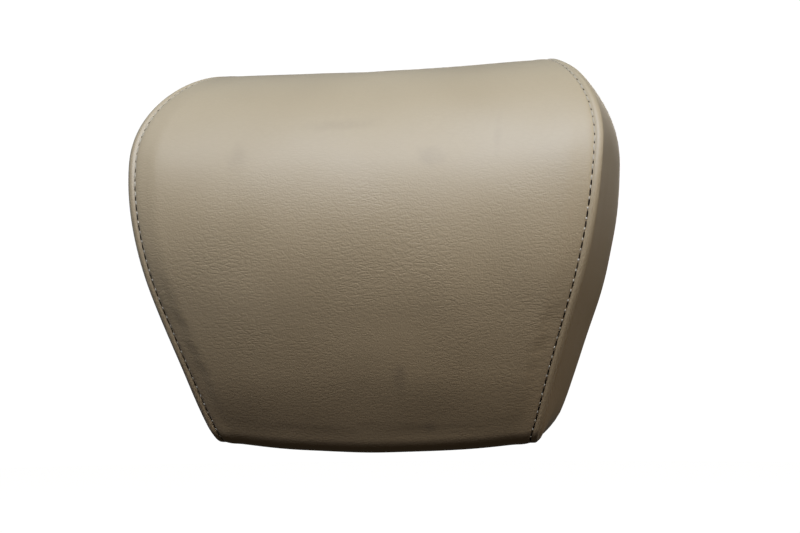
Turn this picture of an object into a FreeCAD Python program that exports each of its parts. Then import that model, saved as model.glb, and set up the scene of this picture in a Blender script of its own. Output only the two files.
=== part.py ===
import FreeCAD, Part
import Sketcher
import math
import os
import re

# Headrest cushion on a friction tilt bracket, millimetres.
# The origin is the centre of the chair bracket's bolt pattern, on the face that meets the chair.
# +Z is up, +X is across the cushion and the padded face looks along -Y.

doc = FreeCAD.newDocument("headrest_cushion")
sheet = doc.addObject("Spreadsheet::Sheet", "Sizes")

SIZES = (
    # the cushion's side view
    ("cushion_height", 224),
    ("mount_level", 112),
    ("crown_radius", 102),
    ("rear_radius", 18),
    ("chest_radius", 143),
    ("chest_drop", 44),
    ("apron_radius", 420),
    ("fold_radius", 14),
    ("heel_radius", 12),
    ("end_overhang", 14.3),
    ("crown_rise", 4.5),
    ("base_rise", 15.2),
    ("face_fall", 9.2),
    # the cushion's front view
    ("flank_half_width", 130.7),
    ("flank_radius", 283),
    ("shoulder_radius", 63),
    ("shoulder_clearance", 6),
    ("lean_angle", 19.5),
    ("flank_taper", 51.8),
    ("skirt_drop", 20),
    ("side_bulge", 4.9),
    ("back_bulge", 5.6),
    ("rear_bulge", 1.5),
    ("outline_overrun", 6),
    # the cover and its filling
    ("leather", 1.2),
    ("comfort_thickness", 8),
    ("stitch_inset", 4.4),
    ("stitch_pitch", 5.5),
    ("stitch_length", 4),
    ("thread_radius", 0.4),
    ("stitch_end_gap", 1),
    # the backing board and what is fixed to it
    ("board_thickness", 12),
    ("board_inset", 14),
    ("board_corner", 12),
    ("board_relief", 2),
    ("cut_overlap", 1),
    ("turn_in", 34),
    ("cap_inset", 20),
    ("cap_thickness", 3.2),
    ("cap_recess", 1.2),
    ("cap_rim", 4),
    ("cap_edge_radius", 1.5),
    ("cap_opening_gap", 5),
    ("cap_boss_margin", 10),
    ("cap_screw_rise", 20),
    ("cap_boss_wall", 1),
    ("cap_boss_root", 0.5),
    ("cap_screw_radius", 1.75),
    ("cap_screw_length", 13),
    ("cap_screw_head", 3.5),
    ("cap_screw_head_height", 1.6),
    ("cap_screw_crown", 0.6),
    ("staple_inset", 29.5),
    ("staple_crown", 10),
    ("staple_leg", 8),
    ("staple_wire", 0.6),
    ("staple_pitch", 26),
    # the brackets
    ("plate", 3),
    ("hinge_offset", 24),
    ("board_offset", 20),
    ("tilt_plate_width", 92),
    ("tilt_plate_height", 60),
    ("screw_spacing_across", 72),
    ("screw_spacing_up", 40),
    ("chair_plate_width", 92),
    ("chair_plate_height", 80),
    ("mount_spacing_across", 72),
    ("mount_spacing_up", 60),
    ("mount_hole_radius", 3.3),
    ("corner_radius", 6),
    ("ear_gap", 36),
    ("ear_nose_radius", 14),
    ("ear_root_height", 17),
    ("bend_radius", 2.5),
    # the hinge
    ("bolt_radius", 4),
    ("running_clearance", 0.05),
    ("face_clearance", 0.1),
    ("washer_thickness", 1.5),
    ("washer_radius", 11),
    ("spacer_wall", 2.5),
    ("bolt_head_radius", 6.5),
    ("bolt_head_height", 5),
    ("bolt_socket_radius", 2.9),
    ("bolt_socket_depth", 2.5),
    ("disc_spring_radius", 8),
    ("disc_spring_sheet", 0.8),
    ("disc_spring_cone", 0.4),
    ("nut_across_flats", 13),
    ("nut_height", 6.5),
    ("nut_collar_radius", 5.6),
    ("nut_collar_height", 1.5),
    ("thread_tail", 2),
    ("thread_chamfer", 0.8),
    ("bolt_head_chamfer", 0.6),
    # the stop pin
    ("stop_radius", 18),
    ("stop_pin_radius", 2.5),
    ("stop_head_radius", 4.2),
    ("stop_head_height", 1.6),
    ("stop_clearance", 0.3),
    ("stop_web", 4.5),
    ("tilt_back", 10),
    ("tilt_forward", 20),
    ("clip_thickness", 0.8),
    ("clip_radius", 5),
    ("clip_groove_depth", 0.5),
    ("clip_mouth", 3.2),
    ("stop_pin_tail", 1.4),
    # the bracket screws
    ("screw_radius", 3),
    ("screw_length", 17),
    ("screw_head_radius", 5.25),
    ("screw_head_height", 3.3),
    ("screw_socket_radius", 2.3),
    ("screw_socket_depth", 1.8),
    ("screw_chamfer", 0.6),
    ("screw_head_crown", 0.72),
    ("screw_washer_radius", 6),
    ("screw_washer_sheet", 1),
    ("tnut_flange_radius", 9.5),
    ("tnut_flange_sheet", 1.5),
    ("tnut_barrel_radius", 4),
    ("tnut_barrel_length", 9),
    ("tnut_pocket_gap", 0.5),
)

for row, (alias, value) in enumerate(SIZES, start=1):
    sheet.set("A%d" % row, alias)
    sheet.set("B%d" % row, str(value))
    sheet.setAlias("B%d" % row, alias)
doc.recompute()


def size(alias):
    return float(sheet.get(alias))


def cells(text):
    """An expression in plain words: each word that is a size becomes a reference to its cell."""
    names = {alias for alias, value in SIZES}
    return re.sub(r"[a-z_]+", lambda word: "Sizes." * (word[0] in names) + word[0], text)


def amount(text):
    """The value of such an expression."""
    answer = sheet.evalExpression(cells(text))
    return float(getattr(answer, "Value", answer))


# Places that several pieces share.
BACK = "- hinge_offset - board_offset"                      # the board's rear face
REAR = BACK + " + leather"                                  # the cover's rear face
CROWN = "cushion_height - mount_level"                      # the top at the middle of the cushion
BASE = "- mount_level"                                      # the underside at the middle
FRONT = REAR + " - rear_radius - crown_radius"              # the foremost line of the padded face
FOOT = "( flank_half_width - flank_taper )"                  # half the width at the skirt
END_STATION = "( flank_half_width + end_overhang )"          # the side view's outer station, past the flank
BOARD_TOP = CROWN + " - rear_radius - board_relief"
BOARD_BASE = BASE + " + heel_radius + base_rise / 2"
EAR_INNER = "ear_gap / 2"
EAR_OUTER = "ear_gap / 2 + plate"
CHAIR_EAR = "ear_gap / 2 + plate + washer_thickness + face_clearance"
CHAIR_EAR_OUTER = CHAIR_EAR + " + plate"


# ---------------------------------------------------------------- helpers for bodies and sketches

def body(name):
    made = doc.addObject("PartDesign::Body", name)
    made.Label = name
    return made


def sketch(owner, name, role, offset="0"):
    """A sketch on one of the body's own origin planes, moved along the plane's normal."""
    made = owner.newObject("Sketcher::SketchObject", name)
    plane = [item for item in owner.Origin.OriginFeatures if item.Role == role][0]
    made.AttachmentSupport = [(plane, "")]
    made.MapMode = "FlatFace"
    made.AttachmentOffset = FreeCAD.Placement(FreeCAD.Vector(0, 0, amount(offset)), FreeCAD.Rotation())
    made.setExpression("AttachmentOffset.Base.z", cells(offset))
    return made


def dimension(drawing, kind, *rest):
    """A sketch constraint bound to an expression in the sheet's sizes."""
    text = rest[-1]
    index = drawing.addConstraint(Sketcher.Constraint(kind, *rest[:-1], amount(text)))
    drawing.setExpression("Constraints[%d]" % index, cells(text))


def place(drawing, piece, point, across, up):
    """Fixes one point of a sketch at the two given distances from the sketch's origin."""
    dimension(drawing, "DistanceX", -1, 1, piece, point, across)
    dimension(drawing, "DistanceY", -1, 1, piece, point, up)


def arc(drawing, centre, radius, start, end):
    """An arc that runs anticlockwise between two angles in degrees."""
    circle = Part.Circle(FreeCAD.Vector(centre[0], centre[1], 0), FreeCAD.Vector(0, 0, 1), radius)
    return drawing.addGeometry(Part.ArcOfCircle(circle, math.radians(start), math.radians(end)), False)


def line(drawing, start, end):
    first = FreeCAD.Vector(start[0], start[1], 0)
    second = FreeCAD.Vector(end[0], end[1], 0)
    return drawing.addGeometry(Part.LineSegment(first, second), False)


def polygon(drawing, corners):
    """A closed outline of straight lines through corners given as pairs of expressions."""
    points = [(amount(across), amount(up)) for across, up in corners]
    count = len(points)
    edges = [line(drawing, points[i], points[(i + 1) % count]) for i in range(count)]
    for i, edge in enumerate(edges):
        drawing.addConstraint(Sketcher.Constraint("Coincident", edge, 2, edges[(i + 1) % count], 1))
        place(drawing, edge, 1, corners[i][0], corners[i][1])


def rectangle(drawing, left, right, low, high):
    polygon(drawing, ((left, low), (right, low), (right, high), (left, high)))


def circle(drawing, across, up, radius):
    centre = FreeCAD.Vector(amount(across), amount(up), 0)
    ring = drawing.addGeometry(Part.Circle(centre, FreeCAD.Vector(0, 0, 1), amount(radius)), False)
    dimension(drawing, "Radius", ring, radius)
    place(drawing, ring, 3, across, up)


def feature(owner, kind, name, drawing, **settings):
    made = owner.newObject("PartDesign::" + kind, name)
    made.Profile = drawing
    for setting, value in settings.items():
        setattr(made, setting, value)
    return made


def pad(owner, name, drawing, length, reverse=False):
    made = feature(owner, "Pad", name, drawing, Length=amount(length), Reversed=reverse)
    made.setExpression("Length", cells(length))
    doc.recompute()
    return made


def cut_through(owner, name, drawing):
    """A pocket through everything on both sides of the sketch's plane."""
    before = owner.Shape.Volume
    made = feature(owner, "Pocket", name, drawing, Type="ThroughAll", Midplane=True)
    doc.recompute()
    if owner.Shape.Volume > before - 1:
        raise RuntimeError(name + " removes nothing")
    return made


def pocket(owner, name, drawing, depth, reverse=False):
    before = owner.Shape.Volume
    made = feature(owner, "Pocket", name, drawing, Length=amount(depth), Reversed=reverse)
    made.setExpression("Length", cells(depth))
    doc.recompute()
    if owner.Shape.Volume > before - 1:
        raise RuntimeError(name + " removes nothing")
    return made


def round_edges(owner, name, radius, chosen):
    """Fillets the edges of the body that the given test picks."""
    base = owner.Tip
    edges = ["Edge%d" % n for n, edge in enumerate(base.Shape.Edges, start=1) if chosen(edge)]
    made = owner.newObject("PartDesign::Fillet", name)
    made.Base = (base, edges)
    made.Radius = amount(radius)
    made.setExpression("Radius", cells(radius))
    doc.recompute()
    return made


def boolean(kind, name, first, second):
    made = doc.addObject("Part::" + kind, name)
    made.Base = first
    made.Tool = second
    made.Label = name
    return made


def shifted(item, across="0", deep="0", up="0"):
    """Places an object by expressions in the sheet's sizes."""
    for axis, text in (("x", across), ("y", deep), ("z", up)):
        setattr(item.Placement.Base, axis, amount(text))
        item.setExpression("Placement.Base." + axis, cells(text))
    return item


def is_upright(edge):
    """True of a straight edge that runs along Y."""
    ends = edge.Vertexes
    if len(ends) != 2 or edge.Curve.TypeId != "Part::GeomLine":
        return False
    step = ends[1].Point - ends[0].Point
    return abs(step.x) < 1e-6 and abs(step.z) < 1e-6


# ---------------------------------------------------------------- the cushion's form
# The side view is a chain of tangent arcs: crown, chest, apron, fold under, heel and rear edge.
# Three such side views are lofted across the width. The crown's ends stand above its middle,
# the underside is arched and the face falls back a little towards the sides.

def side_view(owner, name, station, rise, lift, fall, skin):
    drawing = sketch(owner, name, "YZ_Plane", station)
    crown = CROWN + " + " + rise
    base = BASE + " + " + lift
    radius = "crown_radius - " + fall

    middle = amount(REAR + " - rear_radius")
    thickness = amount(skin)
    crown_arc = amount(radius)
    axis = amount(crown) - crown_arc
    chest_arc = size("chest_radius")
    chest_centre = middle - crown_arc + chest_arc
    bend = math.degrees(math.asin(size("chest_drop") / chest_arc))
    reach = chest_arc - size("apron_radius")
    apron_centre = (chest_centre - reach * math.cos(math.radians(bend)),
                    axis - reach * math.sin(math.radians(bend)))
    fold_level = amount(base) + size("fold_radius")
    fold_reach = size("apron_radius") - size("fold_radius")
    fold_centre = apron_centre[0] - math.sqrt(fold_reach ** 2 - (fold_level - apron_centre[1]) ** 2)
    fold_angle = math.degrees(math.atan2(fold_level - apron_centre[1], fold_centre - apron_centre[0]))
    fold_angle = fold_angle % 360
    heel = size("heel_radius")
    heel_centre = (amount(REAR) - heel, amount(base) + heel)

    edges = [
        arc(drawing, (middle, axis), crown_arc - thickness, 90, 180),
        arc(drawing, (chest_centre, axis), chest_arc - thickness, 180, 180 + bend),
        arc(drawing, apron_centre, size("apron_radius") - thickness, 180 + bend, fold_angle),
        arc(drawing, (fold_centre, fold_level), size("fold_radius") - thickness, fold_angle, 270),
        line(drawing, (fold_centre, amount(base) + thickness),
             (heel_centre[0], amount(base) + thickness)),
        arc(drawing, heel_centre, heel - thickness, 270, 360),
        line(drawing, (amount(REAR) - thickness, heel_centre[1]),
             (amount(REAR) - thickness, amount(crown + " - rear_radius"))),
        arc(drawing, (middle, amount(crown + " - rear_radius")), size("rear_radius") - thickness, 0, 90),
    ]
    for first, second in zip(edges, edges[1:] + edges[:1]):
        drawing.addConstraint(Sketcher.Constraint("Tangent", first, 2, second, 1))
    crown_edge, chest, apron, fold, underside, heel_edge, rear, rear_edge = edges
    drawing.addConstraint(Sketcher.Constraint("Horizontal", underside))
    drawing.addConstraint(Sketcher.Constraint("Vertical", rear))
    drawing.addConstraint(Sketcher.Constraint("Vertical", crown_edge, 3, rear_edge, 3))
    drawing.addConstraint(Sketcher.Constraint("Horizontal", crown_edge, 3, chest, 3))
    dimension(drawing, "Radius", crown_edge, "%s - ( %s )" % (radius, skin))
    for edge, alias in ((chest, "chest_radius"), (apron, "apron_radius"), (fold, "fold_radius"),
                        (heel_edge, "heel_radius"), (rear_edge, "rear_radius")):
        dimension(drawing, "Radius", edge, "%s - ( %s )" % (alias, skin))
    dimension(drawing, "DistanceY", chest, 2, chest, 1,
              "chest_drop * ( 1 - ( %s ) / chest_radius )" % skin)
    place(drawing, rear_edge, 1, "%s - ( %s )" % (REAR, skin), crown + " - rear_radius")
    dimension(drawing, "DistanceY", underside, 1, -1, 1, "0 - ( %s ) - ( %s )" % (base, skin))
    return drawing


def side_form(name, skin):
    """The solid that carries the side view across the width, inset by a skin."""
    made = body(name)
    ends = ("crown_rise", "base_rise", "face_fall")
    left = side_view(made, name + "_left", "0 - " + END_STATION, *ends, skin)
    middle = side_view(made, name + "_middle", "0", "0", "0", "0", skin)
    right = side_view(made, name + "_right", END_STATION, *ends, skin)
    feature(made, "AdditiveLoft", name + "_loft", left, Sections=[middle, right])
    doc.recompute()
    return made


# The front view is a trapezoid with rounded shoulders: straight leaning sides, a long flank arc,
# a shoulder arc and a flat top above the crown. Grown outlines are parallel to the first one.

def front_view(owner, name, ahead, growth, top, foot):
    """An outline parallel to the seam's, grown by a distance, between two levels."""
    drawing = sketch(owner, name, "XZ_Plane", ahead)
    lean = math.radians(size("lean_angle"))
    grown = amount(growth)
    flank = size("flank_radius") + grown
    shoulder = size("shoulder_radius") + grown
    widest = size("flank_half_width") + grown
    skirt = amount(BASE + " - skirt_drop")
    foot_text = ("%s + ( %s ) / cos(lean_angle * 1 deg) + ( %s - ( %s - skirt_drop ) )"
                 " * tan(lean_angle * 1 deg)" % (FOOT, growth, foot, BASE))
    foot_level = amount(foot)
    half_foot = amount(FOOT) + grown / math.cos(lean) + (foot_level - skirt) * math.tan(lean)
    centre = widest - flank
    level = foot_level + (flank - (half_foot - centre) * math.cos(lean)) / math.sin(lean)
    top_level = amount(top)
    shoulder_level = top_level - shoulder
    reach = flank - shoulder
    shoulder_centre = centre + math.sqrt(reach ** 2 - (shoulder_level - level) ** 2)
    turn = math.degrees(math.atan2(shoulder_level - level, shoulder_centre - centre))
    tilt = math.degrees(lean)
    start = (centre + flank * math.cos(lean), level - flank * math.sin(lean))

    edges = [
        line(drawing, (-half_foot, foot_level), (half_foot, foot_level)),
        line(drawing, (half_foot, foot_level), start),
        arc(drawing, (centre, level), flank, -tilt, turn),
        arc(drawing, (shoulder_centre, shoulder_level), shoulder, turn, 90),
        line(drawing, (shoulder_centre, top_level), (-shoulder_centre, top_level)),
        arc(drawing, (-shoulder_centre, shoulder_level), shoulder, 90, 180 - turn),
        arc(drawing, (-centre, level), flank, 180 - turn, 180 + tilt),
        line(drawing, (-start[0], start[1]), (-half_foot, foot_level)),
    ]
    bottom, right, right_flank, right_shoulder, flat, left_shoulder, left_flank, left = edges
    drawing.addConstraint(Sketcher.Constraint("Coincident", left, 2, bottom, 1))
    drawing.addConstraint(Sketcher.Constraint("Coincident", bottom, 2, right, 1))
    for first, second in zip(edges[1:-1], edges[2:]):
        drawing.addConstraint(Sketcher.Constraint("Tangent", first, 2, second, 1))
    drawing.addConstraint(Sketcher.Constraint("Symmetric", bottom, 1, bottom, 2, -2))
    drawing.addConstraint(Sketcher.Constraint("Horizontal", flat))
    dimension(drawing, "DistanceX", -1, 1, bottom, 2, foot_text)
    dimension(drawing, "DistanceY", bottom, 2, -1, 1, "0 - ( %s )" % foot)
    dimension(drawing, "DistanceY", -1, 1, flat, 1, top)
    level_text = ("( %s ) + ( flank_radius + ( %s ) - ( %s - flank_half_width + flank_radius )"
                  " * cos(lean_angle * 1 deg) ) / sin(lean_angle * 1 deg)"
                  % (foot, growth, foot_text))
    for edge in (right_flank, left_flank):
        dimension(drawing, "Radius", edge, "flank_radius + ( %s )" % growth)
        dimension(drawing, "DistanceY", -1, 1, edge, 3, level_text)
    for edge in (right_shoulder, left_shoulder):
        dimension(drawing, "Radius", edge, "shoulder_radius + ( %s )" % growth)
    dimension(drawing, "DistanceX", right_flank, 3, -1, 1, "flank_radius - flank_half_width")
    dimension(drawing, "DistanceX", -1, 1, left_flank, 3, "flank_radius - flank_half_width")
    return drawing


def front_form(name, skin):
    """The solid that carries the front view from the face to the rear, inset by a skin."""
    made = body(name)
    drawings = []
    for part, ahead, bulge in (("front", "0 - ( %s ) + outline_overrun" % FRONT, "0"),
                               ("middle", "0 - ( %s + %s ) / 2" % (FRONT, REAR), "side_bulge"),
                               ("back", "0 - ( %s ) + rear_radius" % REAR, "back_bulge"),
                               ("rear", "0 - ( %s ) - outline_overrun" % REAR, "rear_bulge")):
        growth = "%s - ( %s )" % (bulge, skin)
        drawings.append(front_view(made, name + "_" + part, ahead, growth,
                                   CROWN + " + shoulder_clearance + " + growth, BASE + " - skirt_drop"))
    feature(made, "AdditiveLoft", name + "_loft", drawings[0], Sections=drawings[1:])
    doc.recompute()
    return made


cover_side = side_form("cover_side", "0")
cover_front = front_form("cover_front", "0")
lining_side = side_form("lining_side", "leather")
lining_front = front_form("lining_front", "leather")
filling_side = side_form("filling_side", "leather + comfort_thickness")
stitch_front = front_form("stitch_front", "stitch_inset")


# ---------------------------------------------------------------- shared shapes behind the cushion

def prism(name, level, growth, top, foot, depth, rearward):
    """A plate with the front view's outline, from a level in Y."""
    made = body(name)
    drawing = front_view(made, name + "_outline", "0 - ( %s )" % level, growth, top, foot)
    pad(made, name + "_pad", drawing, depth, rearward)
    return made


def block(name, width, low_y, high_y, low_z, high_z):
    """A box that is centred across the cushion."""
    made = doc.addObject("Part::Box", name)
    for side, text in (("Length", width), ("Width", "( %s ) - ( %s )" % (high_y, low_y)),
                       ("Height", "( %s ) - ( %s )" % (high_z, low_z))):
        setattr(made, side, amount(text))
        made.setExpression(side, cells(text))
    return shifted(made, "0 - ( %s ) / 2" % width, low_y, low_z)


def turned(name, corners, spindle="X_Axis"):
    """A body of revolution from corners given as distance along the spindle and out from it."""
    made = body(name)
    drawing = sketch(made, name + "_section", "XY_Plane")
    if spindle == "Y_Axis":
        corners = [(out, along) for along, out in corners]
    polygon(drawing, corners)
    spin = feature(made, "Revolution", name + "_turn", drawing, Angle=360.0)
    axis = [item for item in made.Origin.OriginFeatures if item.Role == spindle][0]
    spin.ReferenceAxis = (axis, [""])
    doc.recompute()
    return made


def ring(name, start, end, bore, radius, spindle="X_Axis"):
    return turned(name, ((start, bore), (end, bore), (end, radius), (start, radius)), spindle)


def copies(name, source, places):
    """One node of like solids: copies of a solid moved by distances across and up."""
    made = doc.addObject("Part::Feature", name)
    made.Shape = Part.makeCompound([
        source.Shape.translated(FreeCAD.Vector(amount(across), 0, amount(up))) for across, up in places])
    made.Label = name
    return made


def corners_at(across, up):
    """The four corners of a rectangle centred on the origin."""
    return [("%s ( %s ) / 2" % (side, across), "%s ( %s ) / 2" % (height, up))
            for side in ("0 -", "0 +") for height in ("0 -", "0 +")]


def hexagon(drawing, across_corners_radius):
    polygon(drawing, [("( %s ) * cos(%d deg)" % (across_corners_radius, 60 * k),
                       "( %s ) * sin(%d deg)" % (across_corners_radius, 60 * k)) for k in range(6)])


SCREWS = corners_at("screw_spacing_across", "screw_spacing_up")
EDGE_LEVEL = BOARD_BASE + " + cap_screw_rise"
SCREW_INSET = "turn_in + cap_boss_margin"           # clear of the edge of the turned-in leather
TOP_LEVEL = CROWN + " - shoulder_radius"
LOW_ACROSS = ("%s + ( %s - ( %s ) + skirt_drop ) * tan(lean_angle * 1 deg) - ( %s )"
              % (FOOT, EDGE_LEVEL, BASE, SCREW_INSET))
TOP_ACROSS = "flank_half_width - ( %s )" % SCREW_INSET
CAP_SCREWS = [("0 %s ( %s )" % (sign, across), level) for sign in "+-"
              for across, level in ((TOP_ACROSS, TOP_LEVEL), (LOW_ACROSS, EDGE_LEVEL))]


# ---------------------------------------------------------------- the backing board

def board(name):
    made = prism(name, BACK, "rear_bulge - board_inset", BOARD_TOP, BOARD_BASE, "board_thickness", False)
    round_edges(made, name + "_corners", "board_corner",
                lambda edge: is_upright(edge) and edge.CenterOfMass.z < 0)
    return made


board_bed = board("board_bed")
board_body = board("board_blank")
board_holes = sketch(board_body, "board_holes", "XZ_Plane")
for place_across, place_up in SCREWS:
    circle(board_holes, place_across, place_up, "tnut_barrel_radius + running_clearance")
for place_across, place_up in CAP_SCREWS:
    circle(board_holes, place_across, place_up, "cap_screw_radius + running_clearance")
cut_through(board_body, "board_drilling", board_holes)
board_body.Label = "backing_board"


# ---------------------------------------------------------------- the cover
# The front panel wraps the side view and the side panels close its ends. Both turn in behind the
# board, where a window is left open for the bracket.

outer = boolean("Common", "cover_envelope", cover_side, cover_front)
wrap = boolean("Cut", "cover_wrap", outer, lining_side)
window = prism("turn_in_window", REAR + " + cut_overlap", "rear_bulge - turn_in", CROWN + " - turn_in",
               BASE + " + turn_in", "leather + 2 * cut_overlap", False)
framed = boolean("Cut", "cover_framed", wrap, window)
flap_zone = block("flap_zone", "2 * " + END_STATION, BACK, REAR + " + cut_overlap",
                  BASE + " + turn_in", CROWN + " - turn_in")
front_panel = boolean("Cut", "front_panel", framed, flap_zone)
flaps = boolean("Common", "rear_flaps", framed, flap_zone)
ends = boolean("Common", "cover_ends", lining_side, cover_front)
end_skins = boolean("Cut", "end_skins", ends, lining_front)
side_skins = boolean("Fuse", "side_skins", end_skins, flaps)
side_panels = []
for side_name, shift in (("right", "0"), ("left", "0 - 2 * " + END_STATION)):
    half = block("half_" + side_name, "2 * " + END_STATION, FRONT + " - 2 * outline_overrun",
                 REAR + " + outline_overrun", BASE + " - skirt_drop", CROWN + " + skirt_drop")
    shifted(half, shift, FRONT + " - 2 * outline_overrun", BASE + " - skirt_drop")
    side_panels.append(boolean("Common", "side_panel_" + side_name, side_skins, half))


# ---------------------------------------------------------------- the filling

tnut_pocket = ring("tnut_pocket", BACK + " - board_thickness - tnut_flange_sheet - tnut_pocket_gap",
                   BACK + " - board_thickness + cut_overlap", "0",
                   "tnut_flange_radius + tnut_pocket_gap", "Y_Axis")
tnut_pockets = copies("tnut_pockets", tnut_pocket, SCREWS)
inner = boolean("Common", "filling_envelope", lining_side, lining_front)
bedded = boolean("Cut", "filling_bedded", inner, board_bed)
comfort_layer = boolean("Cut", "comfort_layer", bedded, filling_side)
foam_blank = boolean("Common", "foam_blank", bedded, filling_side)
foam_core = boolean("Cut", "foam_core", foam_blank, tnut_pockets)


# ---------------------------------------------------------------- topstitching
# One row of stitches on the front panel, a fixed distance inside each side seam. It runs from the
# rear of the underside, up the face and over the crown.

def topstitch(name, side):
    seam = cover_side.Shape.section(stitch_front.Shape)
    edges = [edge for edge in seam.Edges if side * edge.CenterOfMass.x > 0]
    rear = amount(REAR + " - stitch_end_gap")
    points = []
    for run in Part.sortEdges(edges):
        wire = Part.Wire(run)
        count = round(wire.Length / size("stitch_pitch"))
        points += wire.discretize(count)
    points = [point for point in points if point.y < rear]
    half = size("stitch_length") / 2
    stitches = []
    for before, after in zip(points, points[1:]):
        step = after - before
        if step.Length < 1.5 * size("stitch_pitch"):
            middle = before + step * 0.5
            step.normalize()
            stitches.append(Part.makeCylinder(size("thread_radius"), 2 * half, middle - step * half, step))
    made = doc.addObject("Part::Feature", name)
    made.Shape = Part.makeCompound(stitches)
    made.Label = name
    return made


topstitches = [topstitch("topstitch_right", 1), topstitch("topstitch_left", -1)]


# ---------------------------------------------------------------- staples

def half_width(level):
    """Half the width of the front view's rear outline at a level."""
    centre = size("flank_half_width") - size("flank_radius")
    lean = math.radians(size("lean_angle"))
    foot = amount(BASE + " - skirt_drop")
    from_centre = amount(FOOT) - centre
    middle = foot + (size("flank_radius") - from_centre * math.cos(lean)) / math.sin(lean)
    straight = amount(FOOT) + (level - foot) * math.tan(lean)
    if level < middle - size("flank_radius") * math.sin(lean):
        return straight + size("rear_bulge")
    return centre + math.sqrt(size("flank_radius") ** 2 - (level - middle) ** 2) + size("rear_bulge")


def staple(across, up, upright):
    """A staple with its crown on the leather and two legs in the board."""
    crown = size("staple_crown")
    wire = size("staple_wire")
    rear = amount(REAR)
    made = Part.makeBox(crown, wire, wire, FreeCAD.Vector(-crown / 2, rear, -wire / 2))
    for start in (-crown / 2, crown / 2 - wire):
        leg = Part.makeBox(wire, size("staple_leg"), wire,
                           FreeCAD.Vector(start, rear - size("staple_leg"), -wire / 2))
        made = made.fuse(leg)
    made = made.removeSplitter()
    if upright:
        made.rotate(FreeCAD.Vector(0, 0, 0), FreeCAD.Vector(0, 1, 0), 90)
    made.translate(FreeCAD.Vector(across, 0, up))
    return made


def spread(low, high):
    """Even places between two limits, about one staple pitch apart."""
    count = max(2, round((high - low) / size("staple_pitch")) + 1)
    return [low + (high - low) * k / (count - 1) for k in range(count)]


staple_top = amount(CROWN + " - staple_inset")
staple_base = amount(BASE + " + staple_inset")
top_reach = half_width(staple_top) - size("shoulder_radius") - size("staple_crown")
base_reach = half_width(staple_base) - size("staple_inset") - size("staple_crown")
staples = [staple(across, staple_top, False) for across in spread(-top_reach, top_reach)]
staples += [staple(across, staple_base, False) for across in spread(-base_reach, base_reach)]
for up in spread(staple_base + size("staple_crown"), staple_top - size("shoulder_radius")):
    across = half_width(up) - size("staple_inset")
    staples += [staple(across, up, True), staple(-across, up, True)]
cover_staples = doc.addObject("Part::Feature", "cover_staples")
cover_staples.Shape = Part.makeCompound(staples)


# ---------------------------------------------------------------- the rear cap
# A moulded cover over the staples. Its rim rests on the leather and its bosses on the board.

rear_cap = prism("rear_cap", REAR, "rear_bulge - cap_inset", CROWN + " - cap_inset",
                 BASE + " + cap_inset", "cap_thickness", True)
round_edges(rear_cap, "cap_corners", "board_corner",
            lambda edge: is_upright(edge) and edge.CenterOfMass.z < 0)
round_edges(rear_cap, "cap_edge", "cap_edge_radius",
            lambda edge: edge.BoundBox.YMin > amount(REAR + " + cap_thickness") - 0.01)
recess = front_view(rear_cap, "cap_recess_outline", "0 - ( %s )" % REAR,
                    "rear_bulge - cap_inset - cap_rim", CROWN + " - cap_inset - cap_rim",
                    BASE + " + cap_inset + cap_rim")
pocket(rear_cap, "cap_recess", recess, "cap_recess")
bosses = sketch(rear_cap, "cap_bosses", "XZ_Plane", "0 - ( %s )" % BACK)
for place_across, place_up in CAP_SCREWS:
    circle(bosses, place_across, place_up, "cap_screw_head + cap_boss_wall")
pad(rear_cap, "cap_boss_pads", bosses, "leather + cap_recess + cap_boss_root", True)
openings = sketch(rear_cap, "cap_openings", "XZ_Plane")
rectangle(openings, "0 - tilt_plate_width / 2 - cap_opening_gap", "tilt_plate_width / 2 + cap_opening_gap",
          "0 - tilt_plate_height / 2 - cap_opening_gap", "tilt_plate_height / 2 + cap_opening_gap")
for place_across, place_up in CAP_SCREWS:
    circle(openings, place_across, place_up, "cap_screw_radius + running_clearance")
cut_through(rear_cap, "cap_cutting", openings)

CAP_FACE = REAR + " + cap_thickness"
cap_screw = turned("cap_screw", (
    (CAP_FACE + " - cap_screw_length", "0"),
    (CAP_FACE + " - cap_screw_length + 2 * cap_screw_radius", "cap_screw_radius"),
    (CAP_FACE, "cap_screw_radius"),
    (CAP_FACE, "cap_screw_head"),
    (CAP_FACE + " + cap_screw_head_height / 2", "cap_screw_head"),
    (CAP_FACE + " + cap_screw_head_height", "cap_screw_head * cap_screw_crown"),
    (CAP_FACE + " + cap_screw_head_height", "0"),
), "Y_Axis")
rear_cap_screws = copies("rear_cap_screws", cap_screw, CAP_SCREWS)


# ---------------------------------------------------------------- the tilt bracket and its screws

PLATE_FACE = BACK + " + plate"
AXIS = "0 - hinge_offset"
LOBE = "stop_radius + stop_pin_radius + stop_clearance + stop_web"


def folded_plate(name, face, width, height, rearward, ear_start, ear):
    """A plate with two ears folded from it, one each side."""
    made = body(name)
    flat = sketch(made, name + "_plate", "XZ_Plane", face)
    rectangle(flat, "0 - %s / 2" % width, width + " / 2", "0 - %s / 2" % height, height + " / 2")
    pad(made, name + "_plate_pad", flat, "plate", rearward)
    round_edges(made, name + "_corners", "corner_radius", is_upright)
    for side, start, reverse in (("right", ear_start, False), ("left", "0 - ( %s )" % ear_start, True)):
        outline = sketch(made, name + "_ear_" + side, "YZ_Plane", start)
        polygon(outline, ear)
        pad(made, name + "_ear_pad_" + side, outline, "plate", reverse)
    root = amount(ear_start + " + plate")
    face_y = [amount("0 - ( %s )" % face) + s * size("plate") for s in (-1, 1)]
    round_edges(made, name + "_bends", "bend_radius",
                lambda edge: edge.BoundBox.ZLength > 10 and edge.BoundBox.XLength < 0.01
                and edge.BoundBox.YLength < 0.01 and abs(abs(edge.CenterOfMass.x) - root) < 0.01
                and min(abs(edge.CenterOfMass.y - y) for y in face_y) < 0.01)
    return made


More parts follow.
